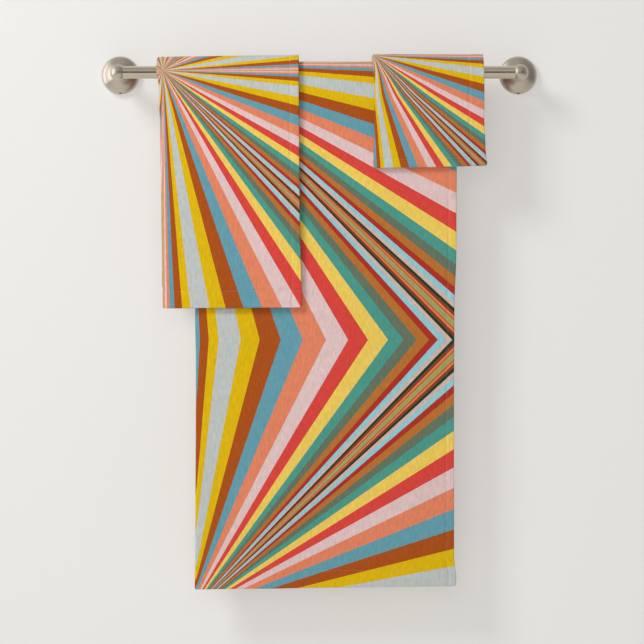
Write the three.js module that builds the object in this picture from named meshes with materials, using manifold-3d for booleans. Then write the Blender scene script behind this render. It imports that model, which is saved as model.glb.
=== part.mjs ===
// Bath towel set on a wall rail: a satin nickel rail holds a bath towel, a hand towel and a
// washcloth. Each towel is folded once along its length and hung over the tube.
// Millimetres, +Z up. The wall is the plane y = 0, the front is -Y, and the origin is on the
// wall, midway between the posts and level with the tube's axis.
import * as THREE from 'three';
import { mergeVertices } from 'three/addons/utils/BufferGeometryUtils.js';
import Module from 'manifold-3d';

const wasm = await Module();
wasm.setup();

// Clearances
const GAP = 0.3; // between pieces that touch or are sewn to each other
const DRAPE_GAP = 0.5; // between the cloth and what it hangs over, and between two plies

// Rail
const POST_SPACING = 592;
const BAR_STANDOFF = 65; // wall to tube axis
const TUBE_RADIUS = 9.25;
const TUBE_WALL = 1.2;
const TUBE_SEAT = 4; // how far the tube's socket runs past the middle of the post's head

// Post, one casting: a bell-shaped base that tapers to a neck with a ball head
const HEAD_RADIUS = TUBE_RADIUS + 2.75; // the tube's socket and the head's wall round it
const NECK_RADIUS = 8.5;
const BASE_RADIUS = 28;
const BASE_RIM = 5; // straight rim at the wall
const BASE_SHOULDER_RADIUS = BASE_RADIUS - 6.5;
const BASE_SHOULDER_DEPTH = 13;
const BASE_SHOULDER_SWELL = 3; // how far before its end the shoulder starts to turn in
const BELL_DEPTH = 27; // wall to the point where the bell has become the neck
const BELL_CURVE = 4; // depth past the shoulder where the bell is most hollow
const BELL_CURVE_WALL = 2; // the bell's clearance outside the neck there
const CAVITY_RADIUS = BASE_RADIUS - 3; // at the wall
const CAVITY_KNEE_DEPTH = 6; // where the cavity starts to narrow
const CAVITY_DRAFT = 0.5; // how much narrower it is there
const CAVITY_FLOOR_RADIUS = BASE_SHOULDER_RADIUS - 1.5;
const CAVITY_DEPTH = 11.5;

// Wall bracket inside the base's cavity
const PLATE_CORNER_RADIUS = CAVITY_RADIUS - CAVITY_DRAFT - GAP; // post's axis to plate's corner
const PLATE_HEIGHT = 16;
const PLATE_THICKNESS = 2.5;
const HUB_HEIGHT = 2 * (CAVITY_FLOOR_RADIUS - 5);
const HUB_DEPTH = 8;
const HUB_TO_SCREW_HEAD = 3;
const WALL_SCREW_FROM_PLATE_END = 5.8;
const WALL_SCREW_RADIUS = 1.9;
const WALL_SCREW_HEAD_RADIUS = 3.9;
const WALL_SCREW_HEAD_DEPTH = 2.4;
const WALL_SCREW_CROWN = 1; // how far its head's front edge is rounded off
const WALL_SCREW_SLOT_WIDTH = 0.9;
const WALL_SCREW_SLOT_DEPTH = 1.1;

// Set screw up through the underside of the base
const SET_SCREW_RADIUS = 2.5;
const SET_SCREW_FROM_WALL = 7;
const SET_SCREW_RECESS = 0.8; // how far its outer end sits inside the base's rim
const SET_SCREW_HEX = 1.45; // corner radius of its key socket
const SET_SCREW_HEX_DEPTH = 2.5;

// Cloth
const PLY = 3.25; // one layer of pressed terry
const FOLD_THICKNESS = 2 * PLY + DRAPE_GAP; // two layers and the space between them
const STITCH_WIDTH = 0.8;
const STITCH_HEIGHT = 0.8;
const STITCH_DEPTH = 0.6; // how far the thread lies below the cloth's face
const LEG_TAPER = THREE.MathUtils.degToRad(0.5); // each leg leans in towards the other one
const ARC_STEPS = 15;
const FOLD_STEPS = 6;

// Facets round the metal parts
const ROUND_STEPS = 40;
const SCREW_STEPS = 20;
const HEAD_STEPS = 10;
const BELL_STEPS = 5;

// left: x of the lengthwise fold. width: folded width. front, back: length of each leg below
// the tube's axis. sideHem, endHem: hem widths. layer 0 lies on the tube, layer 1 on layer 0.
const TOWELS = [
  { name: 'bath_towel', layer: 0, left: -182, width: 381, front: 760, back: 723, sideHem: 11, endHem: 25 },
  { name: 'hand_towel', layer: 1, left: -234, width: 207, front: 346, back: 318, sideHem: 14, endHem: 25 },
  { name: 'washcloth', layer: 1, left: 77.5, width: 165, front: 139, back: 126, sideHem: 22, endHem: 12 },
];

function material(color, roughness, metalness) {
  return () => new THREE.MeshStandardMaterial({ color, roughness, metalness });
}

const nickel = material(0xb3aba0, 0.32, 1);
const zinc = material(0x9a9c9e, 0.5, 1);
const steel = material(0x8c8d90, 0.4, 1);
const terry = material(0xd98a5f, 0.95, 0);
const hemCloth = material(0x5f9fae, 0.95, 0);
const thread = material(0xe9e2d2, 0.8, 0);

// Keeps only the positions, so that manifold-3d and the closed-body test see shared corners.
function bare(geometry) {
  const plain = geometry.clone();
  plain.deleteAttribute('normal');
  plain.deleteAttribute('uv');
  return mergeVertices(plain, 1e-4);
}

function signedVolume(geometry) {
  const at = geometry.attributes.position;
  const index = geometry.index.array;
  const [a, b, c] = [new THREE.Vector3(), new THREE.Vector3(), new THREE.Vector3()];
  let sum = 0;
  for (let i = 0; i < index.length; i += 3) {
    a.fromBufferAttribute(at, index[i]);
    b.fromBufferAttribute(at, index[i + 1]);
    c.fromBufferAttribute(at, index[i + 2]);
    sum += a.dot(b.cross(c));
  }
  return sum / 6;
}

// Turns every triangle over if the body's faces point in.
function facingOut(geometry) {
  if (signedVolume(geometry) < 0) {
    const index = geometry.index.array;
    for (let i = 0; i < index.length; i += 3) {
      [index[i + 1], index[i + 2]] = [index[i + 2], index[i + 1]];
    }
  }
  return geometry;
}

function toManifold(geometry) {
  const plain = facingOut(bare(geometry));
  const mesh = new wasm.Mesh({
    numProp: 3,
    vertProperties: new Float32Array(plain.attributes.position.array),
    triVerts: new Uint32Array(plain.index.array),
  });
  return new wasm.Manifold(mesh);
}

function fromManifold(solid) {
  const mesh = solid.getMesh();
  const geometry = new THREE.BufferGeometry();
  geometry.setAttribute('position', new THREE.BufferAttribute(mesh.vertProperties, 3));
  geometry.setIndex(new THREE.BufferAttribute(mesh.triVerts, 1));
  return geometry;
}

function cut(geometry, tools) {
  let solid = toManifold(geometry);
  for (const tool of tools) {
    solid = solid.subtract(toManifold(tool));
  }
  return fromManifold(solid);
}

function join(geometries) {
  let solid = toManifold(geometries[0]);
  for (const geometry of geometries.slice(1)) {
    solid = solid.add(toManifold(geometry));
  }
  return fromManifold(solid);
}

function place(parent, name, geometry, surface, x = 0, y = 0, z = 0) {
  const mesh = new THREE.Mesh(geometry, surface);
  mesh.name = name;
  mesh.position.set(x, y, z);
  parent.add(mesh);
  return mesh;
}

// A lathe about Y whose profile closes on itself or on the axis.
function turned(points, segments) {
  const profile = points.map(([radius, along]) => new THREE.Vector2(radius, along));
  return facingOut(bare(new THREE.LatheGeometry(profile, segments)));
}

// ---- Rail ----

function tubeLength() {
  return POST_SPACING + 2 * (TUBE_SEAT - GAP);
}

function railTube() {
  const half = tubeLength() / 2;
  const inner = TUBE_RADIUS - TUBE_WALL;
  const ring = [[inner, -half], [TUBE_RADIUS, -half], [TUBE_RADIUS, half], [inner, half]];
  return turned([...ring, ring[0]], ROUND_STEPS).rotateZ(Math.PI / 2);
}

// The post's outline from the rim to the tip of the head, as [radius, distance from the wall].
function postOutline() {
  const shoulder = new THREE.QuadraticBezierCurve(
    new THREE.Vector2(BASE_RADIUS, BASE_RIM),
    new THREE.Vector2(BASE_RADIUS, BASE_SHOULDER_DEPTH - BASE_SHOULDER_SWELL),
    new THREE.Vector2(BASE_SHOULDER_RADIUS, BASE_SHOULDER_DEPTH),
  );
  const flare = new THREE.QuadraticBezierCurve(
    new THREE.Vector2(BASE_SHOULDER_RADIUS, BASE_SHOULDER_DEPTH),
    new THREE.Vector2(NECK_RADIUS + BELL_CURVE_WALL, BASE_SHOULDER_DEPTH + BELL_CURVE),
    new THREE.Vector2(NECK_RADIUS, BELL_DEPTH),
  );
  const meets = Math.asin(NECK_RADIUS / HEAD_RADIUS);
  const head = [];
  for (let i = 0; i <= HEAD_STEPS; i++) {
    const angle = meets + (i / HEAD_STEPS) * (Math.PI - meets);
    head.push([HEAD_RADIUS * Math.sin(angle), BAR_STANDOFF - HEAD_RADIUS * Math.cos(angle)]);
  }
  head[head.length - 1][0] = 0;
  const bell = [...shoulder.getPoints(BELL_STEPS), ...flare.getPoints(BELL_STEPS).slice(1)];
  return [[BASE_RADIUS, 0], ...bell.map((p) => [p.x, p.y]), ...head];
}

// side is -1 for the left post and 1 for the right one. The post's own origin is on the wall.
function postCasting(side) {
  const knee = [CAVITY_RADIUS - CAVITY_DRAFT, CAVITY_KNEE_DEPTH];
  const cavity = [[0, CAVITY_DEPTH], [CAVITY_FLOOR_RADIUS, CAVITY_DEPTH], knee, [CAVITY_RADIUS, 0]];
  const outline = [...cavity, ...postOutline()].map(([radius, depth]) => [radius, -depth]);
  const body = turned(outline, ROUND_STEPS);
  const socketLength = TUBE_SEAT + 2 * HEAD_RADIUS;
  const socketRadius = TUBE_RADIUS + GAP;
  const socket = new THREE.CylinderGeometry(socketRadius, socketRadius, socketLength, ROUND_STEPS);
  socket.rotateZ(Math.PI / 2);
  socket.translate(side * (TUBE_SEAT - socketLength / 2), -BAR_STANDOFF, 0);
  const holeRadius = SET_SCREW_RADIUS + GAP;
  const screwHole = new THREE.CylinderGeometry(holeRadius, holeRadius, BASE_RADIUS, SCREW_STEPS);
  screwHole.rotateX(Math.PI / 2);
  screwHole.translate(0, -SET_SCREW_FROM_WALL, -(HUB_HEIGHT + BASE_RADIUS) / 2 - GAP);
  return cut(body, [socket, screwHole]);
}

function plateLength() {
  return 2 * Math.sqrt(PLATE_CORNER_RADIUS ** 2 - (PLATE_HEIGHT / 2) ** 2);
}

// Distance of each wall screw from the post's axis.
function wallScrewOffset() {
  return plateLength() / 2 - WALL_SCREW_FROM_PLATE_END;
}

function wallBracket() {
  const plate = new THREE.BoxGeometry(plateLength(), PLATE_THICKNESS, PLATE_HEIGHT);
  plate.translate(0, -PLATE_THICKNESS / 2, 0);
  const hubDepth = PLATE_THICKNESS + HUB_DEPTH;
  const hubWidth = 2 * (wallScrewOffset() - WALL_SCREW_HEAD_RADIUS - HUB_TO_SCREW_HEAD);
  const hub = new THREE.BoxGeometry(hubWidth, hubDepth, HUB_HEIGHT);
  hub.translate(0, -hubDepth / 2, 0);
  const holeRadius = WALL_SCREW_RADIUS + GAP;
  const holes = [-1, 1].map((end) => {
    const hole = new THREE.CylinderGeometry(holeRadius, holeRadius, 4 * PLATE_THICKNESS, SCREW_STEPS);
    return hole.translate(end * wallScrewOffset(), 0, 0);
  });
  return cut(join([plate, hub]), holes);
}

// A pan-head screw with a cross recess; its shank is drawn down to the wall's face.
function wallScrew() {
  const seat = PLATE_THICKNESS + GAP;
  const top = seat + WALL_SCREW_HEAD_DEPTH;
  const edge = WALL_SCREW_HEAD_RADIUS;
  const outline = [
    [0, 0], [WALL_SCREW_RADIUS, 0], [WALL_SCREW_RADIUS, -seat], [edge, -seat],
    [edge, -top + WALL_SCREW_CROWN], [edge - WALL_SCREW_CROWN, -top], [0, -top],
  ];
  const slots = [0, Math.PI / 2].map((turn) => {
    const slot = new THREE.BoxGeometry(edge, 2 * WALL_SCREW_SLOT_DEPTH, WALL_SCREW_SLOT_WIDTH);
    return slot.rotateY(turn).translate(0, -top, 0);
  });
  return cut(turned(outline, SCREW_STEPS), slots);
}

// A headless screw with a hexagonal key socket in its lower end.
function setScrew() {
  const tip = -HUB_HEIGHT / 2 - GAP;
  const outer = -BASE_RADIUS + SET_SCREW_RECESS;
  const length = tip - outer;
  const shank = new THREE.CylinderGeometry(SET_SCREW_RADIUS, SET_SCREW_RADIUS, length, SCREW_STEPS);
  shank.rotateX(Math.PI / 2).translate(0, 0, (tip + outer) / 2);
  const key = new THREE.CylinderGeometry(SET_SCREW_HEX, SET_SCREW_HEX, 2 * SET_SCREW_HEX_DEPTH, 6);
  key.rotateX(Math.PI / 2).translate(0, 0, outer);
  return cut(shank, [key]);
}

function addRail(parent) {
  place(parent, 'rail_tube', railTube(), nickel(), 0, -BAR_STANDOFF, 0);
  for (const side of [-1, 1]) {
    const label = side < 0 ? 'left' : 'right';
    const stand = new THREE.Group();
    stand.position.x = (side * POST_SPACING) / 2;
    parent.add(stand);
    place(stand, `${label}_post`, postCasting(side), nickel());
    place(stand, `${label}_wall_bracket`, wallBracket(), zinc());
    place(stand, `${label}_set_screw`, setScrew(), steel(), 0, -SET_SCREW_FROM_WALL, 0);
    place(stand, `${label}_wall_screw_outer`, wallScrew(), steel(), side * wallScrewOffset());
    place(stand, `${label}_wall_screw_inner`, wallScrew(), steel(), -side * wallScrewOffset());
  }
}

// ---- Towels ----

// A point of the drape is a place along its path plus a height out from the innermost face. A
// station holds the path's point there and the outward direction, both in the YZ plane about
// the tube's axis. The front leg runs down at -Y and the back leg at +Y.
function legStation(front, distance) {
  const sign = front ? -1 : 1;
  const down = new THREE.Vector2(-sign * Math.sin(LEG_TAPER), -Math.cos(LEG_TAPER));
  const out = new THREE.Vector2(sign * Math.cos(LEG_TAPER), -Math.sin(LEG_TAPER));
  return { base: down.multiplyScalar(distance), out };
}

function arcStations() {
  const start = -LEG_TAPER;
  const sweep = Math.PI + 2 * LEG_TAPER;
  const stations = [];
  for (let i = 0; i <= ARC_STEPS; i++) {
    const angle = start + (i / ARC_STEPS) * sweep;
    const out = new THREE.Vector2(-Math.cos(angle), Math.sin(angle));
    stations.push({ base: new THREE.Vector2(0, 0), out });
  }
  return stations;
}

// The whole drape, from a distance down the front leg, over the tube, to one down the back leg.
function overBar(front, back) {
  return [legStation(true, front), ...arcStations(), legStation(false, back)];
}

// Sweeps a section, an outline of [x, height] points, along the stations and closes both ends.
function swept(section, stations) {
  const outline = section.map(([x, height]) => new THREE.Vector2(x, height));
  const count = outline.length;
  const positions = [];
  for (const { base, out } of stations) {
    for (const point of outline) {
      positions.push(point.x, base.x + out.x * point.y, base.y + out.y * point.y);
    }
  }
  const index = [];
  for (let row = 0; row < stations.length - 1; row++) {
    for (let i = 0; i < count; i++) {
      const next = (i + 1) % count;
      const [a, b] = [row * count + i, row * count + next];
      index.push(a, b, b + count, a, b + count, a + count);
    }
  }
  const last = (stations.length - 1) * count;
  for (const [a, b, c] of THREE.ShapeUtils.triangulateShape(outline, [])) {
    index.push(a, c, b, last + a, last + b, last + c);
  }
  const geometry = new THREE.BufferGeometry();
  geometry.setAttribute('position', new THREE.Float32BufferAttribute(positions, 3));
  geometry.setIndex(index);
  return facingOut(geometry);
}

// Two plies joined by a rounded fold at the left and open at the right.
function foldedSection(left, right, inner) {
  const outer = inner + FOLD_THICKNESS;
  const middle = (inner + outer) / 2;
  const foldRadius = FOLD_THICKNESS / 2;
  const points = [];
  for (let i = 0; i <= FOLD_STEPS; i++) {
    const angle = Math.PI / 2 + (i / FOLD_STEPS) * Math.PI;
    const x = left + foldRadius + foldRadius * Math.cos(angle);
    points.push([x, middle + foldRadius * Math.sin(angle)]);
  }
  const slit = left + foldRadius;
  points.push([right, inner], [right, inner + PLY], [slit, inner + PLY]);
  points.push([slit, outer - PLY], [right, outer - PLY], [right, outer]);
  return points;
}

// One ply, with its right-hand edge rounded off, as a turned-over hem is.
function plySection(left, right, inner) {
  const outer = inner + PLY;
  const round = PLY / 4;
  const [start, end] = [right - round, outer - round];
  return [[left, inner], [start, inner], [right, inner + round], [right, end], [start, outer], [left, outer]];
}

function threadSection(left, right, inner) {
  const outer = inner + STITCH_HEIGHT;
  return [[left, inner], [right, inner], [right, outer], [left, outer]];
}

// A stitch row along a hem's top edge is a straight bead laid across the leg.
function threadAcross(front, distance, left, right, inner) {
  const ends = [distance - STITCH_WIDTH / 2, distance + STITCH_WIDTH / 2];
  return swept(threadSection(left, right, inner), ends.map((end) => legStation(front, end)));
}

function innerFace(layer) {
  return TUBE_RADIUS + DRAPE_GAP + layer * (FOLD_THICKNESS + DRAPE_GAP);
}

// A stitch row runs in a sunk line, one thread wide with a gap on each side, between a hem and
// the panel that it edges.
function addTowel(parent, { name, layer, left, width, front, back, sideHem, endHem }) {
  const group = new THREE.Group();
  group.position.y = -BAR_STANDOFF;
  parent.add(group);
  const add = (label, section, path, surface) => {
    place(group, `${name}_${label}`, swept(section, path), surface());
  };
  const inner = innerFace(layer);
  const outer = inner + FOLD_THICKNESS;
  const line = STITCH_WIDTH + 2 * GAP;
  const right = left + width;
  const hemLeft = right - sideHem;
  const panelRight = hemLeft - line;
  const panelFront = front - endHem - line;
  const panelBack = back - endHem - line;
  const whole = overBar(panelFront, panelBack);
  const band = foldedSection(left, right, inner);
  add('panel', foldedSection(left, panelRight, inner), whole, terry);
  add('front_hem', band, [legStation(true, front), legStation(true, front - endHem)], hemCloth);
  add('back_hem', band, [legStation(false, back), legStation(false, back - endHem)], hemCloth);
  add('outer_side_hem', plySection(hemLeft, right, outer - PLY), whole, hemCloth);
  add('inner_side_hem', plySection(hemLeft, right, inner), whole, hemCloth);

  const foot = outer - STITCH_DEPTH - STITCH_HEIGHT;
  const sideThread = threadSection(panelRight + GAP, hemLeft - GAP, foot);
  add('side_stitching', sideThread, overBar(panelFront - GAP, panelBack - GAP), thread);
  const acrossLeft = left + FOLD_THICKNESS / 2;
  const acrossRight = right - PLY / 2;
  const frontThread = threadAcross(true, panelFront + line / 2, acrossLeft, acrossRight, foot);
  const backThread = threadAcross(false, panelBack + line / 2, acrossLeft, acrossRight, foot);
  place(group, `${name}_front_stitching`, frontThread, thread());
  place(group, `${name}_back_stitching`, backThread, thread());
}

const towelSet = new THREE.Group();
addRail(towelSet);
for (const towel of TOWELS) {
  addTowel(towelSet, towel);
}

export default towelSet;
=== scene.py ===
"""Looks of the bath towel set: three printed towels folded lengthwise over a satin nickel rail.

Everything is in metres in the frame of the CAD model: the wall is y = 0, the front is -Y, and
the tube's axis is at z = 0. Sizes that the frame holds are read from it.
"""
import math

import bmesh
import bpy
from mathutils import Matrix, Vector, noise


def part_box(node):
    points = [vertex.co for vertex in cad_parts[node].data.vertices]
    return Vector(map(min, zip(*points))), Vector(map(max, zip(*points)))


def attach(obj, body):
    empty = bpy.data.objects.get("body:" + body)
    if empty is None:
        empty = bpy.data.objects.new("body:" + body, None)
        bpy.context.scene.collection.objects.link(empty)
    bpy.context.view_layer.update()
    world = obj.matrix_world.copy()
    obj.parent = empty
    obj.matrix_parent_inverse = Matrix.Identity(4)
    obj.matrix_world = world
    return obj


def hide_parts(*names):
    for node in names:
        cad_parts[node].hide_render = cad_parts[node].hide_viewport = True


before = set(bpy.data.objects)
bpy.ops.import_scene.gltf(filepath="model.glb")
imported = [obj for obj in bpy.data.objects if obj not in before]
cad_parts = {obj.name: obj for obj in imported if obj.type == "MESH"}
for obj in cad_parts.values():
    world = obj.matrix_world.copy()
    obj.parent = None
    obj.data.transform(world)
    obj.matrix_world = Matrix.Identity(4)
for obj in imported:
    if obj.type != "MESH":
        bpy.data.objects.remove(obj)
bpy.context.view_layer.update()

MM = 0.001
TUBE_LOW, TUBE_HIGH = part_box("rail_tube")
TUBE_RADIUS = (TUBE_HIGH[2] - TUBE_LOW[2]) / 2
BAR_Y = (TUBE_LOW[1] + TUBE_HIGH[1]) / 2

# Cloth, all layers
DRAPE_GAP = 0.5 * MM  # between the cloth and what it hangs over
FOLD_THICKNESS = 7.0 * MM  # two plies and the space between them
PLY = 2.7 * MM
HEM_PLY = 3.3 * MM
STITCH_PLY = 1.7 * MM  # where a stitch row pulls the ply in
EDGE_ROUND = 1.5 * MM
EDGE_SHARE = 0.3  # of the thickness, at the very edge
PINCH_REACH = 2.2 * MM  # how far from a stitch row the ply is still pulled in
LEG_TAPER = math.radians(0.5)
FOLD_CORNER = 1.6 * MM  # radius of a lower corner next to the fold
OPEN_CORNER = 3.5 * MM  # and next to the open edge
EDGE_WANDER = 0.5 * MM  # of the lower edges
EDGE_WAVES = 5  # in it, over the width
INNER_EDGE_WANDER = 1.6 * MM  # of the inner ply's open edge, which also lies a little further in
INNER_EDGE_WAVES = 6  # in it, per metre
INNER_EDGE_INSET = 0.35  # as a share of its wander
PRINT_ASPECT = 0.975  # width over length of the print's square cell

# Distances below the bar over which the legs change
OUTLINE_TOP = 0.02  # z at the top of the cloth, as the outlines have it
SWELL_REACH = 0.10  # to where the outer ply's swell at the bar has died away
SHIFT_FROM, SHIFT_REACH = 0.08, 0.10  # where a back leg's shift starts, and over what length
RIPPLE_REACH = 0.25  # over which a ripple grows to its full depth
INNER_RIPPLE = 0.75  # the inner ply's share of it
HEM_CLEARANCE = 0.5 * MM  # how much further off the outer towels' legs hang, so that hems pass
CLEARANCE_FROM, CLEARANCE_REACH = 0.02, 0.05  # where it starts, and over what length
# The ripple's two waves: per metre across and down, and share of its depth
SOFT_WAVE = (7, 2.2, 0.8)
BROAD_WAVE = (2.5, 1.3, 0.6)
RIPPLE_MEAN = 0.5
SLIP_REACH = 0.04  # below the bar, over which the print's slip there dies away

# Spacing of the cloth's grid
GRID = 6 * MM
ARC_STEPS = 28
FOLD_STEPS = 4
EDGE_STOPS = (0.35, 0.8, EDGE_ROUND / MM, 2.5, 3.8)  # mm from an edge
SEAM_STOPS = (-2.2, -1.0, 0.0, 1.0, 2.2)  # mm from a stitch row
CLOSEST_STOPS = 0.3 * MM
CLEAR_OF_FOLD = 0.5 * MM  # the first column past the fold keeps this from it
CLEAR_OF_BAR = 0.2 * MM  # and the first row of a leg from the bar's level

# Colours of the print's bands
COLOURS = {
    "sage": (176, 160, 112),
    "coral": (219, 129, 96),
    "pale_pink": (217, 190, 190),
    "blue": (98, 152, 168),
    "rust": (165, 79, 28),
    "yellow": (215, 177, 16),
    "grey": (185, 191, 190),
    "red": (210, 69, 62),
    "maize": (231, 198, 92),
    "teal": (75, 149, 136),
    "olive": (98, 114, 96),
    "ochre": (178, 110, 50),
    "dark_red": (168, 50, 38),
    "light_blue": (144, 194, 206),
    "skin": (206, 176, 164),
    "dark_green": (28, 58, 44),
    "brown": (136, 62, 36),
    "gold": (214, 150, 44),
    "sea_green": (130, 158, 128),
}
# The bands in order from an axis of the star to its diagonal, with each one's share of the way
BANDS = [
    ("sage", 0.0025), ("coral", 0.0025), ("pale_pink", 0.01), ("coral", 0.01), ("blue", 0.02),
    ("rust", 0.03), ("yellow", 0.035), ("grey", 0.08), ("yellow", 0.065), ("rust", 0.075),
    ("blue", 0.08), ("coral", 0.08), ("pale_pink", 0.08), ("red", 0.07), ("maize", 0.07),
    ("teal", 0.055), ("olive", 0.045), ("ochre", 0.045), ("dark_red", 0.03), ("light_blue", 0.03),
    ("skin", 0.02), ("dark_green", 0.015), ("brown", 0.015), ("coral", 0.01), ("ochre", 0.01),
    ("gold", 0.005), ("sea_green", 0.01),
]


class Towel:
    """One towel's sizes. Lengths run along the cloth; x and z are places in the frame."""

    def __init__(self, name, layer, flat, left, right, front, back, side_hem, end_hem, **more):
        self.name, self.layer, self.flat = name, layer, flat
        self.left, self.right = left, right  # outline of the front: (z, x) points, top to bottom
        self.front, self.back = front, back  # z of each leg's lower edge: (at fold, at open edge)
        self.side_hem, self.end_hem = side_hem, end_hem
        self.focus_x, self.focus_z = more["focus"]  # middle of the print's star
        self.slip_x, self.slip_z = more["slip"]  # how far the print lies off its place at the bar
        self.mirror = more["mirror"]  # distance along the cloth from a star to the next mirror line
        self.swell = more["swell"]  # how far the outer ply stands off at the bar: (fold, edge)
        self.back_shift = more["back_shift"]  # how far the back leg's fold lies further left
        self.ripple, self.calm = more["ripple"]  # depth of the soft waves, and z where they start
        self.seed = more["seed"]
        self.inner = TUBE_RADIUS + DRAPE_GAP + layer * (FOLD_THICKNESS + DRAPE_GAP)


TOWELS = [
    Towel(
        "bath_towel", layer=0, flat=(0.762, 1.524),
        left=[
            (0.02, -0.1820), (-0.37, -0.1822), (-0.42, -0.1812), (-0.50, -0.1812),
            (-0.62, -0.1818), (-0.76, -0.1826),
        ],
        right=[
            (0.02, 0.2000), (-0.13, 0.2018), (-0.26, 0.2014), (-0.35, 0.1985), (-0.50, 0.1978),
            (-0.714, 0.1980), (-0.726, 0.1992), (-0.738, 0.2013), (-0.76, 0.2010),
        ],
        front=(-0.7602, -0.7552), back=(-0.722, -0.725), side_hem=0.011, end_hem=0.025,
        focus=(-0.1946, 0.0120), slip=(0.0, 0.0012), mirror=0.4055, swell=(-1.0 * MM, -0.4 * MM),
        back_shift=0.0, ripple=(2.4 * MM, -0.36), seed=3,
    ),
    Towel(
        "hand_towel", layer=1, flat=(0.419, 0.724),
        left=[
            (0.02, -0.2385), (-0.004, -0.2388), (-0.02, -0.2354), (-0.05, -0.2345),
            (-0.075, -0.2332), (-0.13, -0.2326), (-0.20, -0.2312), (-0.30, -0.2299),
            (-0.348, -0.2291),
        ],
        right=[
            (0.02, -0.0300), (-0.10, -0.0292), (-0.20, -0.0285), (-0.33, -0.0258),
            (-0.348, -0.0262),
        ],
        front=(-0.3475, -0.3462), back=(-0.3165, -0.318), side_hem=0.014, end_hem=0.025,
        focus=(-0.2286, -0.0008), slip=(-0.0008, 0.0018), mirror=0.37, swell=(-1.4 * MM, 1.6 * MM),
        back_shift=0.0022, ripple=(1.6 * MM, -0.02), seed=11,
    ),
    Towel(
        "washcloth", layer=1, flat=(0.330, 0.330),
        left=[
            (0.022, 0.0772), (0.012, 0.0792), (-0.02, 0.0808), (-0.05, 0.0810), (-0.139, 0.0794),
        ],
        right=[
            (0.025, 0.2398), (0.014, 0.2418), (-0.04, 0.2420), (-0.07, 0.2418), (-0.11, 0.2436),
            (-0.139, 0.2462),
        ],
        front=(-0.1420, -0.1385), back=(-0.1255, -0.1265), side_hem=0.022, end_hem=0.012,
        focus=(0.0768, 0.0222), slip=(0.0038, -0.0004), mirror=0.22, swell=(2.4 * MM, 2.6 * MM),
        back_shift=0.0, ripple=(1.2 * MM, -0.02), seed=23,
    ),
]


def smooth(t):
    t = min(max(t, 0.0), 1.0)
    return t * t * (3 - 2 * t)


def along(points, z):
    """The x at height z on an outline of (z, x) points, eased between them."""
    if z >= points[0][0]:
        return points[0][1]
    for (za, xa), (zb, xb) in zip(points, points[1:]):
        if z >= zb:
            return xa + (xb - xa) * smooth((za - z) / (za - zb))
    return points[-1][1]


# ---- Mesh helpers ----


def new_object(name, mesh):
    obj = bpy.data.objects.new(name, mesh)
    bpy.context.scene.collection.objects.link(obj)
    return obj


def shade_smooth(obj):
    obj.data.polygons.foreach_set("use_smooth", [True] * len(obj.data.polygons))


ON_AXIS = 1e-9  # a radius below this is the axis itself


def turned(name, profile, steps=144):
    """A closed body turned about Y. profile is (radius, y) points that start and end on the axis,
    or close on themselves."""
    on_axis = profile[0][0] < ON_AXIS
    bm = bmesh.new()
    rings = []
    for radius, y in profile:
        if radius < ON_AXIS:
            rings.append([bm.verts.new((0, y, 0))])
            continue
        ring = []
        for i in range(steps):
            angle = 2 * math.pi * i / steps
            ring.append(bm.verts.new((radius * math.cos(angle), y, radius * math.sin(angle))))
        rings.append(ring)
    pairs = list(zip(rings, rings[1:]))
    if not on_axis:
        pairs.append((rings[-1], rings[0]))
    for a, b in pairs:
        for i in range(steps):
            j = (i + 1) % steps
            corners = [a[i % len(a)], a[j % len(a)], b[j % len(b)], b[i % len(b)]]
            unique = list(dict.fromkeys(corners))
            if len(unique) > 2:
                bm.faces.new(unique)
    bmesh.ops.recalc_face_normals(bm, faces=bm.faces)
    mesh = bpy.data.meshes.new(name)
    bm.to_mesh(mesh)
    bm.free()
    return new_object(name, mesh)


def apply_modifiers(obj):
    graph = bpy.context.evaluated_depsgraph_get()
    mesh = bpy.data.meshes.new_from_object(obj.evaluated_get(graph))
    obj.modifiers.clear()
    obj.data = mesh


def cut_round(obj, radius, depth, centre, axis):
    """Bores a round hole into obj."""
    bpy.ops.mesh.primitive_cylinder_add(vertices=96, radius=radius, depth=depth, location=centre)
    tool = bpy.context.object
    tool.rotation_euler = {"X": (0, math.pi / 2, 0), "Z": (0, 0, 0)}[axis]
    bpy.context.view_layer.update()
    modifier = obj.modifiers.new("bore", "BOOLEAN")
    modifier.object = tool
    modifier.solver = "EXACT"
    apply_modifiers(obj)
    bpy.data.objects.remove(tool)


def shade_by_angle(obj, degrees):
    """Smooth shading with creases where faces meet at more than this angle."""
    shade_smooth(obj)
    limit = math.radians(degrees)
    bm = bmesh.new()
    bm.from_mesh(obj.data)
    for edge in bm.edges:
        if len(edge.link_faces) == 2:
            edge.smooth = edge.calc_face_angle() < limit
    bm.to_mesh(obj.data)
    bm.free()


# ---- Materials ----


def linear(rgb):
    """sRGB 0-255 to the linear colour that the shader takes."""
    out = []
    for value in rgb:
        c = value / 255
        out.append(c / 12.92 if c <= 0.04045 else ((c + 0.055) / 1.055) ** 2.4)
    return (*out, 1.0)


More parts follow.
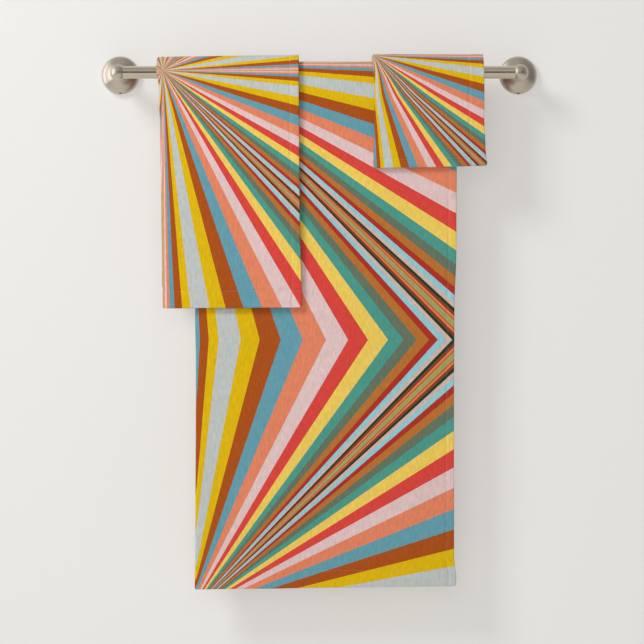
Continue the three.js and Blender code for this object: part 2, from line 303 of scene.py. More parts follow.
class Nodes:
    """Small helper that adds and links shader nodes."""

    def __init__(self, name):
        self.material = bpy.data.materials.new(name)
        self.material.use_nodes = True
        self.tree = self.material.node_tree
        self.shader = self.tree.nodes["Principled BSDF"]

    def add(self, kind, **settings):
        node = self.tree.nodes.new("ShaderNode" + kind)
        for key, value in settings.items():
            setattr(node, key, value)
        return node

    def link(self, source, target):
        self.tree.links.new(source, target)

    def math(self, operation, a, b=None):
        node = self.add("Math", operation=operation)
        for socket, value in zip(node.inputs, (a, b)):
            if value is None:
                continue
            if isinstance(value, (int, float)):
                socket.default_value = value
            else:
                self.link(value, socket)
        return node.outputs[0]

    def noise(self, vector, scale, detail, roughness=0.5):
        node = self.add("TexNoise")
        node.inputs["Scale"].default_value = scale
        node.inputs["Detail"].default_value = detail
        node.inputs["Roughness"].default_value = roughness
        self.link(vector, node.inputs["Vector"])
        return node.outputs["Fac"]

    def stretched(self, vector, scale):
        node = self.add("Mapping")
        node.inputs["Scale"].default_value = scale
        self.link(vector, node.inputs["Vector"])
        return node.outputs["Vector"]

    def spread(self, value, low, high):
        """Maps a 0-1 value to low-high."""
        node = self.add("MapRange")
        node.inputs["To Min"].default_value = low
        node.inputs["To Max"].default_value = high
        self.link(value, node.inputs["Value"])
        return node.outputs["Result"]

    def bump(self, height, distance, strength):
        node = self.add("Bump")
        node.inputs["Distance"].default_value = distance
        node.inputs["Strength"].default_value = strength
        self.link(height, node.inputs["Height"])
        return node.outputs["Normal"]

    def tinted(self, colour, factor):
        """colour (a socket or a constant) times a grey factor."""
        node = self.add("Mix", data_type="RGBA", blend_type="MULTIPLY")
        node.inputs["Factor"].default_value = 1.0
        if isinstance(colour, tuple):
            node.inputs["A"].default_value = colour
        else:
            self.link(colour, node.inputs["A"])
        self.link(factor, node.inputs["B"])
        return node.outputs["Result"]


# How often the cloth's features repeat per metre, across and along
RIBS = 150
SLUB = (520, 70, 1)
LOOPS = (1500, 900, 1)
WEAR = (260, 90, 1)
CLOUDS = 9.0
# How far each darkens and lightens the colour
SLUB_SHADE = (0.84, 1.16)
WEAR_SHADE = (0.79, 1.21)
CLOUD_SHADE = (0.94, 1.06)
CLOTH_ROUGHNESS = (0.82, 0.98)
RIB_HEIGHT = 0.5  # against the loops'
PILE_STRENGTH = 0.5
STAR_POINT = 0.01 * MM  # keeps the star's middle from dividing by nothing
PRINTED_PILE = 0.25 * MM
REVERSE_PILE = 0.6 * MM
UNDYED = (236, 230, 220)
REVERSE_WHITE = (236, 233, 226)


def cloth_surface(nodes, colour, pile):
    """Woven cotton: fine upright ribs, a short pile, and slight unevenness in colour."""
    uv = nodes.add("UVMap", uv_map="cloth").outputs["UV"]
    ribs = nodes.add("TexWave", wave_type="BANDS", bands_direction="X")
    ribs.inputs["Scale"].default_value = RIBS
    ribs.inputs["Distortion"].default_value = 1.4
    ribs.inputs["Detail Scale"].default_value = 2.5
    nodes.link(uv, ribs.inputs["Vector"])
    slub = nodes.noise(nodes.stretched(uv, SLUB), 1.0, 3)
    loops = nodes.noise(nodes.stretched(uv, LOOPS), 1.0, 1)
    cloudy = nodes.noise(uv, CLOUDS, 2)
    worn = nodes.noise(nodes.stretched(uv, WEAR), 1.0, 3, 0.65)
    shade = nodes.spread(cloudy, *CLOUD_SHADE)
    shade = nodes.math("MULTIPLY", nodes.spread(slub, *SLUB_SHADE), shade)
    shade = nodes.math("MULTIPLY", shade, nodes.spread(worn, *WEAR_SHADE))
    nodes.link(nodes.tinted(colour, shade), nodes.shader.inputs["Base Color"])
    nodes.link(nodes.spread(slub, *CLOTH_ROUGHNESS), nodes.shader.inputs["Roughness"])
    height = nodes.math("ADD", nodes.math("MULTIPLY", ribs.outputs["Fac"], RIB_HEIGHT), loops)
    nodes.link(nodes.bump(height, pile, PILE_STRENGTH), nodes.shader.inputs["Normal"])
    nodes.shader.inputs["Specular IOR Level"].default_value = 0.12
    nodes.shader.inputs["Sheen Weight"].default_value = 0.08
    nodes.shader.inputs["Sheen Roughness"].default_value = 0.45


def print_material(towel, name, fade=0.0):
    """The star of coloured bands, worked out from the cloth's flat coordinates. fade is how far it
    pales towards undyed cotton."""
    nodes = Nodes(f"{towel.name}_{name}")
    uv = nodes.add("UVMap", uv_map="cloth").outputs["UV"]
    split = nodes.add("SeparateXYZ")
    nodes.link(uv, split.inputs[0])
    across = nodes.math("MULTIPLY", nodes.math("ABSOLUTE", split.outputs["X"]), PRINT_ASPECT)
    down = nodes.math("PINGPONG", split.outputs["Y"], towel.mirror)
    near = nodes.math("MINIMUM", across, down)
    far = nodes.math("MAXIMUM", nodes.math("MAXIMUM", across, down), STAR_POINT)
    ramp = nodes.add("ValToRGB")
    ramp.color_ramp.interpolation = "CONSTANT"
    stops = ramp.color_ramp.elements
    while len(stops) < len(BANDS):
        stops.new(1.0)
    start = 0.0
    for stop, (_, share) in zip(stops, BANDS):
        stop.position = start
        start += share
    # In a second pass, since moving the stops sorts them
    for stop, (colour, _) in zip(stops, BANDS):
        stop.color = linear(COLOURS[colour])
    nodes.link(nodes.math("DIVIDE", near, far), ramp.inputs["Fac"])
    colour = ramp.outputs["Color"]
    if fade:
        pale = nodes.add("Mix", data_type="RGBA")
        pale.inputs["Factor"].default_value = fade
        pale.inputs["B"].default_value = linear(UNDYED)
        nodes.link(colour, pale.inputs["A"])
        colour = pale.outputs["Result"]
    cloth_surface(nodes, colour, PRINTED_PILE)
    return nodes.material


def reverse_material():
    nodes = Nodes("white_terry_reverse")
    cloth_surface(nodes, linear(REVERSE_WHITE), REVERSE_PILE)


SCRATCH_SHARE, CLOUD_SHARE = 0.7, 0.3  # in how uneven a metal's roughness is
METAL_CLOUDS = 40  # per metre
METAL_SHADE = (0.94, 1.04)
ROUGHNESS_BELOW, ROUGHNESS_ABOVE = 0.07, 0.09
GRAIN_STRENGTH = 0.4


def metal_material(name, colour, roughness, grain, brushing, round_axis=None):
    """Brushed metal: fine scratches, grain deep and brushing to the metre, and faint cloudiness.
    With round_axis it was brushed while it turned about that axis."""
    nodes = Nodes(name)
    inputs = nodes.shader.inputs
    where = nodes.add("TexCoord").outputs["Object"]
    scratches = nodes.noise(nodes.stretched(where, brushing), 1.0, 4, 0.6)
    cloudy = nodes.noise(where, METAL_CLOUDS, 2)
    fine = nodes.math("MULTIPLY", scratches, SCRATCH_SHARE)
    level = nodes.math("ADD", fine, nodes.math("MULTIPLY", cloudy, CLOUD_SHARE))
    uneven = nodes.spread(level, roughness - ROUGHNESS_BELOW, roughness + ROUGHNESS_ABOVE)
    nodes.link(uneven, inputs["Roughness"])
    shade = nodes.spread(cloudy, *METAL_SHADE)
    nodes.link(nodes.tinted(linear(colour), shade), inputs["Base Color"])
    nodes.link(nodes.bump(scratches, grain, GRAIN_STRENGTH), inputs["Normal"])
    inputs["Metallic"].default_value = 1.0
    if round_axis:
        tangent = nodes.add("Tangent", direction_type="RADIAL", axis=round_axis)
        nodes.link(tangent.outputs[0], inputs["Tangent"])
        inputs["Anisotropic"].default_value = 0.85
        inputs["Anisotropic Rotation"].default_value = 0.25
    return nodes.material


# ---- Towels ----


class Drape:
    """Where a point of a towel's cloth lies. ply is 1 on the outside and -1 next to the bar; across
    is the distance from the lengthwise fold along either ply. side is -1 for the front leg, 1 for
    the back leg and 0 over the bar."""

    def __init__(self, towel):
        self.towel = towel
        self.bend = (FOLD_THICKNESS - PLY) / 2  # radius of the lengthwise fold, at mid-ply
        self.bend_length = self.bend * math.pi / 2  # of the quarter turn that each ply has in it
        self.half = towel.flat[0] / 2
        self.low = towel.inner + PLY / 2  # radius over the bar at the inner ply's middle
        self.high = towel.inner + FOLD_THICKNESS - PLY / 2  # and at the outer ply's

    def leg(self, side, share):
        """z of the leg's lower edge at a share of the width."""
        at_fold, at_edge = self.towel.front if side < 0 else self.towel.back
        wave = EDGE_WANDER * noise.noise(Vector((share * EDGE_WAVES + self.towel.seed, side, 0)))
        return at_fold + (at_edge - at_fold) * share + wave

    def rounded_corner(self, across):
        """How much shorter the cloth is next to its fold and its open edge."""
        lift = 0.0
        for distance, radius in ((across, FOLD_CORNER), (self.half - across, OPEN_CORNER)):
            if distance < radius:
                lift += radius - math.sqrt(radius**2 - (radius - distance) ** 2)
        return lift

    def printed(self, ply, point, side, angle):
        """Flat coordinates of the print at a point: across from the star's middle, and along."""
        t = self.towel
        z = point.z
        top = self.high + PLY / 2
        if angle is not None:
            z = top * math.sin(angle)
        near_bar = smooth((z + SLIP_REACH) / SLIP_REACH)
        if side > 0 or (angle is not None and angle > math.pi / 2):
            z = 2 * top - z
            near_bar = 1.0
        x = point.x
        if ply < 0:
            x = 2 * along(t.left, point.z) - x
        return x - t.focus_x - t.slip_x * near_bar, t.focus_z + t.slip_z * near_bar - z

    def waves(self, side, x, z):
        """How far the leg stands off, outwards only, so that towels slide over each other."""
        t = self.towel
        depth = smooth((t.calm - z) / RIPPLE_REACH)
        clear = t.layer * HEM_CLEARANCE * smooth((-z - CLEARANCE_FROM) / CLEARANCE_REACH)
        lift = RIPPLE_MEAN
        for (across, down, share), seed in ((SOFT_WAVE, t.seed), (BROAD_WAVE, t.seed * 2)):
            lift += share * noise.noise(Vector((x * across, z * down, seed + side)))
        return clear + depth * t.ripple * max(0.0, lift)

    def cross(self, ply, across, z, side=-1):
        """(x, share of the width, height share from 0 at the inner ply to 1 at the outer one)."""
        t = self.towel
        left, right = along(t.left, z), along(t.right, z)
        if side > 0:
            left -= t.back_shift * smooth((-z - SHIFT_FROM) / SHIFT_REACH)
        if across < self.bend_length:
            angle = across / self.bend
            x = left + self.bend * (1 - math.cos(angle)) + PLY / 2
            return x, 0.0, 0.5 + ply * 0.5 * math.sin(angle)
        share = (across - self.bend_length) / (self.half - self.bend_length)
        if ply < 0:
            wander = noise.noise(Vector((z * INNER_EDGE_WAVES, t.seed, 4)))
            right += INNER_EDGE_WANDER * (wander - INNER_EDGE_INSET)
        start = left + self.bend + PLY / 2
        x = start + (right - start) * share
        return x, share, 0.5 + ply * 0.5

    def radius(self, height):
        return self.low + (self.high - self.low) * height

    def swell(self, share, height):
        at_fold, at_edge = self.towel.swell
        return (at_fold + (at_edge - at_fold) * share) * height

    def point(self, ply, across, side, share_down, angle=None):
        """Position on the cloth's middle surface. On a leg share_down runs from the bar to the
        lower edge; over the bar angle is 0 at the front and pi at the back."""
        if angle is None:
            _, share, _ = self.cross(ply, across, 0)
            z = (self.leg(side, share) + self.rounded_corner(across)) * share_down
            x, share, height = self.cross(ply, across, z, side)
            radius = self.radius(height)
            radius += self.swell(share, height) * (1 - smooth(-z / SWELL_REACH))
            radius += self.waves(side, x, z) * (INNER_RIPPLE + (1 - INNER_RIPPLE) * height)
            lean = math.tan(LEG_TAPER) * -z
            return Vector((x, BAR_Y + side * (radius - lean), z))
        low_x, _, _ = self.cross(ply, across, 0.0)
        top_x, share, height = self.cross(ply, across, OUTLINE_TOP)
        x = low_x + (top_x - low_x) * math.sin(angle)
        radius = self.radius(height) + self.swell(share, height)
        return Vector((x, BAR_Y - radius * math.cos(angle), radius * math.sin(angle)))


def stops_between(start, end, step, hems=()):
    """Places from start to end about a step apart, closer together at the hems' stitch rows and
    at the cloth's edges. hems holds (edge, direction inwards, hem width)."""
    count = max(2, round(abs(end - start) / step))
    places = {start + (end - start) * i / count for i in range(count + 1)}
    for edge, inwards, width in hems:
        for off in EDGE_STOPS:
            places.add(edge + inwards * off * MM)
        for off in SEAM_STOPS:
            places.add(edge + inwards * (width + off * MM))
    kept = []
    for place in sorted(places):
        if not kept or place - kept[-1] > CLOSEST_STOPS:
            kept.append(place)
    return kept


def ply_thickness(to_side, to_end, side_hem, end_hem):
    """The cloth's thickness at distances to its side and end edges."""
    thick = PLY
    if to_side < side_hem or to_end < end_hem:
        thick = HEM_PLY
    near_side = abs(to_side - side_hem) if to_end > 0 else 1  # no pinch in the lower edge
    near_end = abs(to_end - end_hem)
    pinch = min(near_side, near_end) / PINCH_REACH
    thick = STITCH_PLY + (thick - STITCH_PLY) * smooth(pinch)
    edge = min(to_side, to_end) / EDGE_ROUND
    if edge < 1:
        thick *= EDGE_SHARE + (1 - EDGE_SHARE) * math.sqrt(max(0.0, 1 - (1 - edge) ** 2))
    return thick


def leg_length(towel, side):
    return -sum(towel.front if side < 0 else towel.back) / 2


def cloth_columns(drape):
    """The sheet's columns as (ply, distance from the fold), from the inner ply's open edge, round
    the fold, to the outer ply's open edge."""
    stops = stops_between(0, drape.half, GRID, [(drape.half, -1, drape.towel.side_hem)])
    fold = [drape.bend_length * i / FOLD_STEPS for i in range(FOLD_STEPS)]
    across = fold + [a for a in stops if a > drape.bend_length + CLEAR_OF_FOLD]
    return [(-1, a) for a in reversed(across[1:])] + [(1, a) for a in across]


def cloth_rows(towel):
    """The sheet's rows as (side, share of the leg, distance to the lower edge, angle over the
    bar), from the front's lower edge, over the bar, to the back's."""
    legs = []
    for side in (-1, 1):
        length = leg_length(towel, side)
        downs = stops_between(0, length, GRID, [(length, -1, towel.end_hem)])
        legs.append([(side, d / length, length - d, None) for d in downs if d > CLEAR_OF_BAR])
    arc = [(0, 0, 1.0, math.pi * i / ARC_STEPS) for i in range(ARC_STEPS + 1)]
    return legs[0][::-1] + arc + legs[1]


def towel_cloth(towel):
    """One continuous sheet, thickened to a ply that is rounded at the edges, thicker in the hems
    and pinched at the stitch rows."""
    drape = Drape(towel)
    columns = cloth_columns(drape)
    bm = bmesh.new()
    grid = []
    flat_of = {}
    weight_of = {}
    for side, share, to_end, angle in cloth_rows(towel):
        line = []
        for ply, a in columns:
            vert = bm.verts.new(drape.point(ply, a, side, share, angle))
            line.append(vert)
            flat_of[vert] = drape.printed(ply, vert.co, side, angle)
            thick = ply_thickness(drape.half - a, to_end, towel.side_hem, towel.end_hem)
            weight_of[vert] = thick / HEM_PLY
        grid.append(line)
    uv = bm.loops.layers.uv.new("cloth")
    for row, below in zip(grid, grid[1:]):
        for i in range(len(row) - 1):
            face = bm.faces.new((row[i], row[i + 1], below[i + 1], below[i]))
            face.smooth = True
            for loop in face.loops:
                loop[uv].uv = flat_of[loop.vert]
    weights = [weight_of[vert] for vert in bm.verts]
    bm.normal_update()
    on_front = grid[len(grid) // 4][len(columns) * 3 // 4]  # in the outer ply
    if on_front.normal.y > 0:
        bmesh.ops.reverse_faces(bm, faces=bm.faces)
    mesh = bpy.data.meshes.new(towel.name + "_cloth")
    bm.to_mesh(mesh)
    bm.free()
    obj = new_object(towel.name + "_cloth", mesh)
    group = obj.vertex_groups.new(name="ply")
    for i, weight in enumerate(weights):
        group.add([i], weight, "REPLACE")
    obj.data.materials.append(print_material(towel, "print"))
    obj.data.materials.append(bpy.data.materials["white_terry_reverse"])
    solid = obj.modifiers.new("ply", "SOLIDIFY")
    solid.thickness = HEM_PLY
    solid.offset = 0
    solid.vertex_group = "ply"
    solid.thickness_vertex_group = 0.0
    solid.material_offset = 1
    apply_modifiers(obj)
    return obj


STITCH_LENGTH = 2.5 * MM
STITCH_PITCH = 3.2 * MM
FIRST_STITCH = 2 * MM  # how far past the fold an end hem's row starts
THREAD_RADIUS = 0.24 * MM
THREAD_SIDES = 6
THREAD_FADE = 0.25
# A stitch's rings: share of its length, size and rise, the last two in thread radii
STITCH_RINGS = (
    (0, 0.25, -0.9), (0.14, 0.8, -0.1), (0.5, 1, 0.25), (0.86, 0.8, -0.1), (1, 0.25, -0.9),
)
PROBE = 0.5 * MM  # step sideways that the cloth's direction is taken over
PROBE_DOWN = 0.002  # and down a leg, as a share of its length


def stitch_row(name, places, material):
    """Lockstitch thread as short rounded dashes. places gives each stitch's two ends, as (point,
    outward direction, flat coordinates). The thread is printed with the cloth."""
    bm = bmesh.new()
    uv = bm.loops.layers.uv.new("cloth")
    for (start, out, flat), (end, _, _) in places:
        first = len(bm.faces)
        along_row = (end - start).normalized()
        side = along_row.cross(out).normalized()
        up = side.cross(along_row)
        if up.dot(out) < 0:
            up = -up
        rings = []
        for share, size, rise in STITCH_RINGS:
            centre = start.lerp(end, share) + up * rise * THREAD_RADIUS
            ring = []
            for i in range(THREAD_SIDES):
                turn = 2 * math.pi * i / THREAD_SIDES
                offset = (side * math.cos(turn) + up * math.sin(turn)) * size * THREAD_RADIUS
                ring.append(bm.verts.new(centre + offset))
            rings.append(ring)
        for a, b in zip(rings, rings[1:]):
            for i in range(THREAD_SIDES):
                j = (i + 1) % THREAD_SIDES
                bm.faces.new((a[i], a[j], b[j], b[i]))
        bm.faces.new(list(reversed(rings[0])))
        bm.faces.new(rings[-1])
        bm.faces.ensure_lookup_table()
        for face in bm.faces[first:]:
            for loop in face.loops:
                loop[uv].uv = flat
    bmesh.ops.recalc_face_normals(bm, faces=bm.faces)
    mesh = bpy.data.meshes.new(name)
    bm.to_mesh(mesh)
    bm.free()
    obj = new_object(name, mesh)
    shade_smooth(obj)
    obj.data.materials.append(material)
    return obj


def surface_point(drape, ply, across, side, share, angle=None):
    """(point on the printed face, outward direction, flat coordinates) of the cloth."""
    here = drape.point(ply, across, side, share, angle)
    if angle is None:
        beside = drape.point(ply, across - PROBE, side, share)
        above = drape.point(ply, across, side, share - PROBE_DOWN)
        out = (here - beside).cross(here - above).normalized()
        if out.y * side < 0:
            out = -out
    else:
        out = Vector((0, -math.cos(angle), math.sin(angle)))
    if ply < 0:
        out = -out
    return here + out * (STITCH_PLY / 2), out, drape.printed(ply, here, side, angle)


def end_stitches(towel, side, material):
    """The row along the top of an end hem, on the outer ply."""
    drape = Drape(towel)
    share = 1 - towel.end_hem / leg_length(towel, side)
    first = drape.bend_length + FIRST_STITCH
    count = int((drape.half - first - EDGE_ROUND) / STITCH_PITCH)
    places = []
    for i in range(count):
        start = first + i * STITCH_PITCH
        ends = (start, start + STITCH_LENGTH)
        places.append([surface_point(drape, 1, end, side, share) for end in ends])
    label = "front" if side < 0 else "back"
    obj = stitch_row(f"{towel.name}_{label}_thread", places, material)
    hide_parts(f"{towel.name}_{label}_stitching")
    return obj


def side_stitches(towel, material):
    """The rows up the side hems of both plies, over the bar and down the back."""
    drape = Drape(towel)
    across = drape.half - towel.side_hem
    places = []
    for ply in (1, -1):
        for side in (-1, 1):
            length = leg_length(towel, side)
            count = int((length - towel.end_hem) / STITCH_PITCH)
            for i in range(count):
                ends = [(i * STITCH_PITCH + off) / length for off in (0, STITCH_LENGTH)]
                places.append([surface_point(drape, ply, across, side, end) for end in ends])
        radius = drape.high if ply > 0 else drape.low
        count = int(math.pi * radius / STITCH_PITCH)
        for i in range(count):
            middle = (i + 0.5) * math.pi / count
            ends = [middle + off / radius for off in (-STITCH_LENGTH / 2, STITCH_LENGTH / 2)]
            places.append([surface_point(drape, ply, across, 0, 0, end) for end in ends])
    obj = stitch_row(f"{towel.name}_side_thread", places, material)
    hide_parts(f"{towel.name}_side_stitching")
    return obj


def add_towel(towel):
    cloth = towel_cloth(towel)
    names = ("panel", "front_hem", "back_hem", "outer_side_hem", "inner_side_hem")
    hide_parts(*[f"{towel.name}_{name}" for name in names])
    sewn = print_material(towel, "thread", THREAD_FADE)
    threads = [end_stitches(towel, side, sewn) for side in (-1, 1)] + [side_stitches(towel, sewn)]
    for piece in (cloth, *threads):
        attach(piece, towel.name)


# ---- Rail ----

TUBE_WALL = 1.2 * MM
TUBE_LIP = 0.3 * MM  # chamfer at the tube's ends
TUBE_STEPS = 60
TUBE_SIDES = 128
TUBE_CREASE, POST_CREASE = 40, 35  # degrees above which an edge stays sharp
NECK_RADIUS = 8.5 * MM
BASE_RIM = 4.5 * MM
BASE_LIP = 0.8 * MM  # radius of the base's edge at the wall
SHOULDER_INSET = 6.5 * MM
SHOULDER_DEPTH = 13 * MM
BELL_DEPTH = 27 * MM
CAVITY_WALL = 3 * MM
CAVITY_DEPTH = 11.5 * MM
CAVITY_STEP = 6 * MM  # depth where the cavity starts to narrow
CAVITY_CORNER = 1.5 * MM  # how far its floor stays in from the shoulder
CAVITY_DRAFT = 0.5 * MM  # how far it has drawn in at its step
RIM_PULL = 3 * MM  # how far the bell's curves are pulled past their ends: at the rim,
NECK_PULL = (2 * MM, 4 * MM)  # and at the neck, outwards and forwards
LIP_PULL = 0.6  # share of the lip's radius
LIP_RISE = 0.1 * MM
LIP_STEPS, RIM_STEPS, BELL_STEPS, HEAD_STEPS = 4, 16, 20, 32
SET_SCREW_RADIUS = 2.5 * MM
SET_SCREW_FROM_WALL = 7 * MM
SET_SCREW_HOLE = 16 * MM  # length of the tool that bores it, centred on the base's edge
SOCKET_GAP = 0.25 * MM


def curve_points(start, control, end, steps):
    """Points of a quadratic curve."""
    points = []
    for i in range(steps + 1):
        t = i / steps
        shares = ((1 - t) ** 2, 2 * t * (1 - t), t * t)
        points.append(tuple(
            shares[0] * a + shares[1] * b + shares[2] * c for a, b, c in zip(start, control, end)
        ))
    return points


def post_profile(base_radius, head_radius):
    """(radius, depth from the wall) of the post: the cavity, then the outside to the head's tip."""
    mouth = base_radius - CAVITY_WALL
    shoulder = (base_radius - SHOULDER_INSET, SHOULDER_DEPTH)
    profile = [
        (0, CAVITY_DEPTH), (shoulder[0] - CAVITY_CORNER, CAVITY_DEPTH),
        (mouth - CAVITY_DRAFT, CAVITY_STEP), (mouth, 0), (base_radius - BASE_LIP, 0),
    ]
    lip = (base_radius - BASE_LIP * LIP_PULL, LIP_RISE)
    lip_end = (base_radius, BASE_LIP)
    profile += curve_points(lip, (base_radius, LIP_RISE), lip_end, LIP_STEPS)
    rim, rim_pull = (base_radius, BASE_RIM), (base_radius, SHOULDER_DEPTH - RIM_PULL)
    profile += curve_points(rim, rim_pull, shoulder, RIM_STEPS)
    neck = (NECK_RADIUS, BELL_DEPTH)
    neck_pull = (NECK_RADIUS + NECK_PULL[0], SHOULDER_DEPTH + NECK_PULL[1])
    profile += curve_points(shoulder, neck_pull, neck, BELL_STEPS)[1:]
    meets = math.asin(NECK_RADIUS / head_radius)
    for i in range(HEAD_STEPS + 1):
        angle = meets + (math.pi - meets) * i / HEAD_STEPS
        profile.append((head_radius * math.sin(angle), -BAR_Y - head_radius * math.cos(angle)))
    profile[-1] = (0, profile[-1][1])
    return profile


def add_post(label, side):
    low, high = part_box(f"{label}_post")
    x = (low[0] + high[0]) / 2
    base_radius = (high[0] - low[0]) / 2
    head_radius = BAR_Y - low[1]
    profile = [(r, -d) for r, d in post_profile(base_radius, head_radius)]
    post = turned(f"{label}_post_shell", profile)
    post.data.transform(Matrix.Translation((x, 0, 0)))
    tube_end = TUBE_LOW[0] if side < 0 else TUBE_HIGH[0]
    bore = 4 * head_radius  # length of the tool, from just past the tube's end to well outside
    socket = (tube_end - side * (bore / 2 - SOCKET_GAP), BAR_Y, 0)
    cut_round(post, TUBE_RADIUS + SOCKET_GAP, bore, socket, "X")
    hole = (x, -SET_SCREW_FROM_WALL, -base_radius)
    cut_round(post, SET_SCREW_RADIUS + SOCKET_GAP, SET_SCREW_HOLE, hole, "Z")
    shade_by_angle(post, POST_CREASE)
    post.data.materials.clear()
    post.data.materials.append(bpy.data.materials["satin_nickel_cast"])
    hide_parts(f"{label}_post")
    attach(post, "wall_mounts")


def add_tube():
    half = (TUBE_HIGH[0] - TUBE_LOW[0]) / 2
    bore, face = TUBE_RADIUS - TUBE_WALL, TUBE_RADIUS - TUBE_LIP
    full = half - TUBE_LIP  # to where the outside has its full radius
    outside = [(TUBE_RADIUS, -full + 2 * full * i / TUBE_STEPS) for i in range(TUBE_STEPS + 1)]
    profile = [(bore, half), (bore, -half), (face, -half), *outside, (face, half)]
    tube = turned("towel_bar_tube", profile, TUBE_SIDES)
    tube.data.transform(Matrix.Rotation(math.pi / 2, 4, "Z"))
    tube.data.transform(Matrix.Translation((0, BAR_Y, 0)))
    shade_by_angle(tube, TUBE_CREASE)
    tube.data.materials.append(bpy.data.materials["satin_nickel_tube"])
    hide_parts("rail_tube")
    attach(tube, "bar")


# ---- Stage ----

CAMERA_DISTANCE = 5.1  # from the tube's axis
CAMERA_LENS = 193.7
SENSOR_WIDTH = 36
CAMERA_X = 4.1 * MM
CAMERA_Z = -0.3674
FLOOR_Z = -1.25
WALL_Y = 0.6 * MM  # just behind the bases
REACH = 3.0  # of the wall and floor
WALL_PAINT = ("wall_paint", (178, 177, 175), 0.82)  # name, colour, glow
FLOOR_PAINT = ("floor_paint", (188, 187, 184), 0.7)
# Each light's name, place, target, size, power and colour
LIGHTS = [
    ("key", (-1.7, -1.9, 1.5), (0.0, -0.05, -0.35), 1.1, 58.5, (0.97, 0.985, 1.0)),
    ("fill", (-0.3, -3.4, 0.1), (0.0, -0.05, -0.4), 2.4, 32, (1.0, 0.95, 0.88)),
]
ROOM = (0.9, 0.895, 0.885, 1)
ROOM_STRENGTH = 0.95
ROOM_LIGHT = 0.19  # how strongly it lights the matt surfaces
MIRRORED_FLOOR = (0.60, 0.59, 0.57, 1)
MIRRORED_CEILING = (0.52, 0.51, 0.50, 1)
# Between the two, by height from 0 to 1: grey levels, slightly warmed
MIRRORED_LEVELS = ((0.36, 0.60), (0.42, 0.12), (0.58, 0.12), (0.66, 0.72), (0.80, 0.65))
MIRRORED_WARMTH = (1, 0.985, 0.96)
MIRRORED_WINDOW = (2.5, 2.5, 2.5, 1)
WINDOW_EDGE = (-0.45, -0.9)  # direction's X, from none of it to all of it
MIRRORED_CORNER = (0.31, 0.304, 0.296, 1)
CORNER_SLANT = 0.5  # how much of the direction's Z is added to its X
CORNER_EDGE = (0.45, 0.75)  # and the sum, from none of it to all of it


def add_camera():
    data = bpy.data.cameras.new("camera")
    data.lens = CAMERA_LENS
    data.sensor_width = SENSOR_WIDTH
    camera = bpy.data.objects.new("camera", data)
    camera.location = (CAMERA_X, BAR_Y - CAMERA_DISTANCE, CAMERA_Z)
    camera.rotation_euler = (math.pi / 2, 0, 0)
    bpy.context.scene.collection.objects.link(camera)
    bpy.context.scene.camera = camera


def stage_material(name, colour, glow):
    """Matt paint that shows from its front only, so that the object can be seen from behind. glow
    lifts its shadows, as a lit backdrop does."""
    nodes = Nodes(name)
    nodes.shader.inputs["Base Color"].default_value = linear(colour)
    nodes.shader.inputs["Emission Color"].default_value = linear(colour)
    nodes.shader.inputs["Emission Strength"].default_value = glow
    nodes.shader.inputs["Roughness"].default_value = 0.95
    nodes.shader.inputs["Specular IOR Level"].default_value = 0.1
    behind = nodes.add("NewGeometry").outputs["Backfacing"]
    clear = nodes.add("BsdfTransparent")
    mix = nodes.add("MixShader")
    nodes.link(behind, mix.inputs[0])
    nodes.link(nodes.shader.outputs[0], mix.inputs[1])
    nodes.link(clear.outputs[0], mix.inputs[2])
    nodes.link(mix.outputs[0], nodes.tree.nodes["Material Output"].inputs["Surface"])
    return nodes.material


def add_plane(name, corners, material):
    mesh = bpy.data.meshes.new(name)
    mesh.from_pydata(corners, [], [(0, 1, 2, 3)])
    obj = new_object(name, mesh)
    obj.data.materials.append(material)


def add_stage():
    left_foot, right_foot = (-REACH, WALL_Y, FLOOR_Z), (REACH, WALL_Y, FLOOR_Z)
    wall = [left_foot, right_foot, (REACH, WALL_Y, REACH), (-REACH, WALL_Y, REACH)]
    add_plane("wall", wall, stage_material(*WALL_PAINT))
    near = -2 * REACH
    floor = [(-REACH, near, FLOOR_Z), (REACH, near, FLOOR_Z), right_foot, left_foot]
    add_plane("floor", floor, stage_material(*FLOOR_PAINT))


def add_area(name, place, target, size, power, colour):
    data = bpy.data.lights.new(name, "AREA")
    data.shape = "DISK"
    data.size = size
    data.energy = power
    data.color = colour
    light = bpy.data.objects.new(name, data)
    light.visible_glossy = False  # the metal reflects the room instead
    light.location = place
    light.rotation_euler = (Vector(target) - Vector(place)).to_track_quat("-Z", "Y").to_euler()
    bpy.context.scene.collection.objects.link(light)


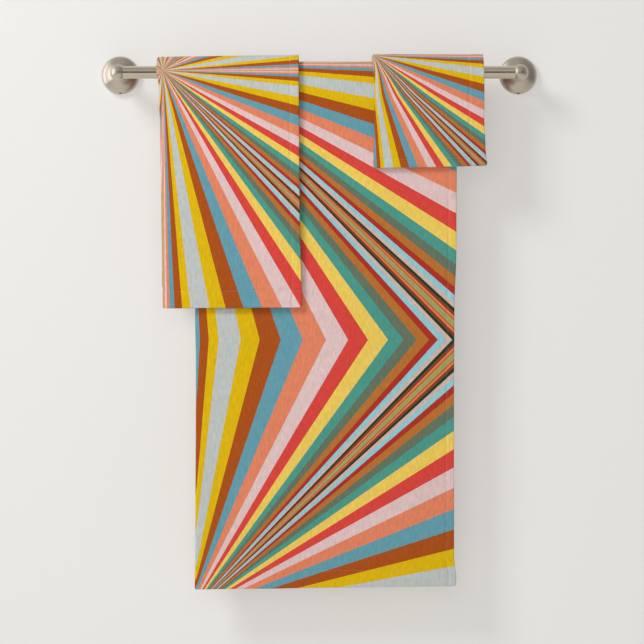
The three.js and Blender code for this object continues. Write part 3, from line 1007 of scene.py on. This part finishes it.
def add_world():
    """An even pale room. The metal mirrors more of it: a bright floor and upper half, a dark level
    strip, a window at the left and a dim corner high up at the right."""
    world = bpy.data.worlds.new("soft_room")
    bpy.context.scene.world = world
    world.use_nodes = True
    tree = world.node_tree
    background = tree.nodes["Background"]

    def add(kind, **settings):
        node = tree.nodes.new("ShaderNode" + kind)
        for key, value in settings.items():
            setattr(node, key, value)
        return node

    def ranged(source, low, high, **settings):
        node = add("MapRange", **settings)
        node.inputs["From Min"].default_value = low
        node.inputs["From Max"].default_value = high
        tree.links.new(source, node.inputs["Value"])
        return node.outputs["Result"]

    def mixed(factor, first, second):
        node = add("Mix", data_type="RGBA")
        tree.links.new(factor, node.inputs["Factor"])
        for socket, colour in ((node.inputs["A"], first), (node.inputs["B"], second)):
            if isinstance(colour, tuple):
                socket.default_value = colour
            else:
                tree.links.new(colour, socket)
        return node.outputs["Result"]

    direction = add("SeparateXYZ")
    tree.links.new(add("TexCoord").outputs["Generated"], direction.inputs[0])
    ramp = add("ValToRGB")
    tree.links.new(ranged(direction.outputs["Z"], -1, 1), ramp.inputs[0])
    stops = ramp.color_ramp.elements
    stops[0].color, stops[1].color = MIRRORED_FLOOR, MIRRORED_CEILING
    for place, grey in MIRRORED_LEVELS:
        stops.new(place).color = (*[grey * share for share in MIRRORED_WARMTH], 1)
    window = ranged(direction.outputs["X"], *WINDOW_EDGE, interpolation_type="SMOOTHSTEP")
    room = mixed(window, ramp.outputs[0], MIRRORED_WINDOW)
    slant = add("Math", operation="MULTIPLY_ADD")
    slant.inputs[1].default_value = CORNER_SLANT
    tree.links.new(direction.outputs["Z"], slant.inputs[0])
    tree.links.new(direction.outputs["X"], slant.inputs[2])
    corner = ranged(slant.outputs[0], *CORNER_EDGE, interpolation_type="SMOOTHSTEP")
    room = mixed(corner, room, MIRRORED_CORNER)
    path = add("LightPath")
    seen = mixed(path.outputs["Is Glossy Ray"], ROOM, room)
    tree.links.new(seen, background.inputs["Color"])
    strength = ranged(path.outputs["Is Diffuse Ray"], 0, 1)
    strength.node.inputs["To Min"].default_value = ROOM_STRENGTH
    strength.node.inputs["To Max"].default_value = ROOM_LIGHT
    tree.links.new(strength, background.inputs["Strength"])


def finish_cad_nodes():
    """The small hardware inside the posts keeps its CAD shape and gets real surfaces."""
    zinc = metal_material(
        "zinc_casting", (168, 170, 172), roughness=0.42, grain=0.05 * MM, brushing=(900, 900, 900)
    )
    steel = metal_material(
        "screw_steel", (150, 150, 152), roughness=0.3, grain=0.03 * MM, brushing=(400, 3000, 400)
    )
    for label in ("left", "right"):
        parts = {
            f"{label}_wall_bracket": zinc,
            f"{label}_set_screw": steel,
            f"{label}_wall_screw_outer": steel,
            f"{label}_wall_screw_inner": steel,
        }
        for name, material in parts.items():
            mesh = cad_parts[name].data
            mesh.materials.clear()
            mesh.materials.append(material)


add_camera()
reverse_material()
metal_material(
    "satin_nickel_tube", (198, 188, 170), roughness=0.19, grain=0.02 * MM, brushing=(60, 2500, 2500)
)
metal_material(
    "satin_nickel_cast", (202, 191, 177), roughness=0.31, grain=0.01 * MM,
    brushing=(500, 500, 500), round_axis="Y"
)
add_tube()
add_post("left", -1)
add_post("right", 1)
finish_cad_nodes()
add_towel(TOWELS[0])
add_towel(TOWELS[1])
add_towel(TOWELS[2])
add_stage()
for light in LIGHTS:
    add_area(*light)
add_world()
bpy.context.scene.view_settings.view_transform = "Standard"
